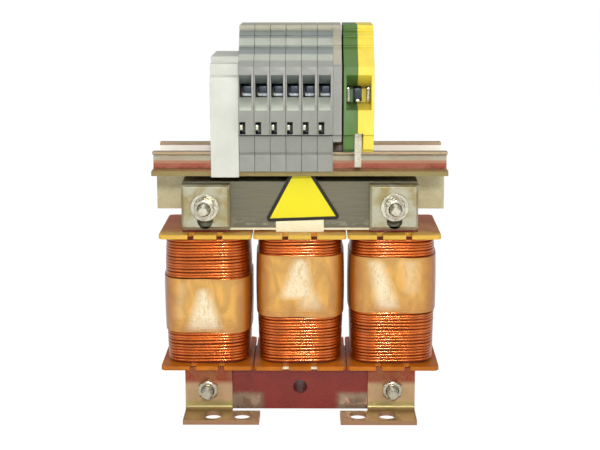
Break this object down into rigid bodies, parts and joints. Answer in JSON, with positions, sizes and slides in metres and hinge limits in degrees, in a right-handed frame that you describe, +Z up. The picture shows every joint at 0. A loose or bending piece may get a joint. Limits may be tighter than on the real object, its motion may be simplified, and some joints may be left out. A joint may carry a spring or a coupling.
{
  "type": "line reactor",
  "caption": "Three-phase line reactor: laminated core on four slotted feet, three taped copper coils on bobbins, and a rail with terminals above.",
  "frame": {"origin": "on the floor, in the middle of the object's footprint", "axes": "+X to the right, +Y to the back, +Z up; the side with the label and the long stud ends faces -Y"},
  "size_m": [0.1284, 0.064, 0.168],
  "materials": {
    "red_varnished_steel": "satin varnish",
    "lamination_steel": "rolled sheet, satin",
    "gap_board": "pressed board",
    "cream_board": "pressed board",
    "amber_polyamide": "moulded, glossy",
    "enamelled_copper": "enamelled wire, glossy",
    "amber_tape": "film tape, glossy",
    "passivated_zinc": "yellow passivated",
    "plated_steel": "zinc plated",
    "sleeve_film": "rolled film",
    "white_polyamide": "moulded, satin",
    "grey_polyamide": "moulded, satin",
    "clamp_steel": "bright plated",
    "tinned_copper": "tin plated",
    "green_polyamide": "moulded, satin",
    "yellow_polyamide": "moulded, satin",
    "yellow_label": "film on plate"
  },
  "bodies": {
    "root": {"air_gap_sheet": "gap_board", "bobbin_centre": "amber_polyamide", "bobbin_left": "amber_polyamide", "bobbin_right": "amber_polyamide", "bolt_sleeves": "sleeve_film", "centre_leg_strip": "cream_board", "clamp_plate_left": "passivated_zinc", "clamp_plate_right": "passivated_zinc", "coil_tape_centre": "amber_tape", "coil_tape_left": "amber_tape", "coil_tape_right": "amber_tape", "core_e_stack": "red_varnished_steel", "current_bars": "tinned_copper", "end_cover": "grey_polyamide", "end_stop": "white_polyamide", "flat_washers": "plated_steel", "foot_back_left": "passivated_zinc", "foot_back_right": "passivated_zinc", "foot_front_left": "passivated_zinc", "foot_front_right": "passivated_zinc", "hex_nuts": "plated_steel", "label_plate": "yellow_label", "mounting_rail": "passivated_zinc", "pe_clamps": "clamp_steel", "pe_housing_green": "green_polyamide", "pe_housing_yellow": "yellow_polyamide", "pe_rail_feet": "clamp_steel", "rail_carrier": "passivated_zinc", "rail_screws": "plated_steel", "spring_washers": "plated_steel", "terminal_clamps": "clamp_steel", "terminal_housing_1": "grey_polyamide", "terminal_housing_2": "grey_polyamide", "terminal_housing_3": "grey_polyamide", "terminal_housing_4": "grey_polyamide", "terminal_housing_5": "grey_polyamide", "terminal_housing_6": "grey_polyamide", "tie_bolts": "plated_steel", "upper_yoke": "lamination_steel", "winding_centre": "enamelled_copper", "winding_left": "enamelled_copper", "winding_right": "enamelled_copper"}
  },
  "joints": []
}
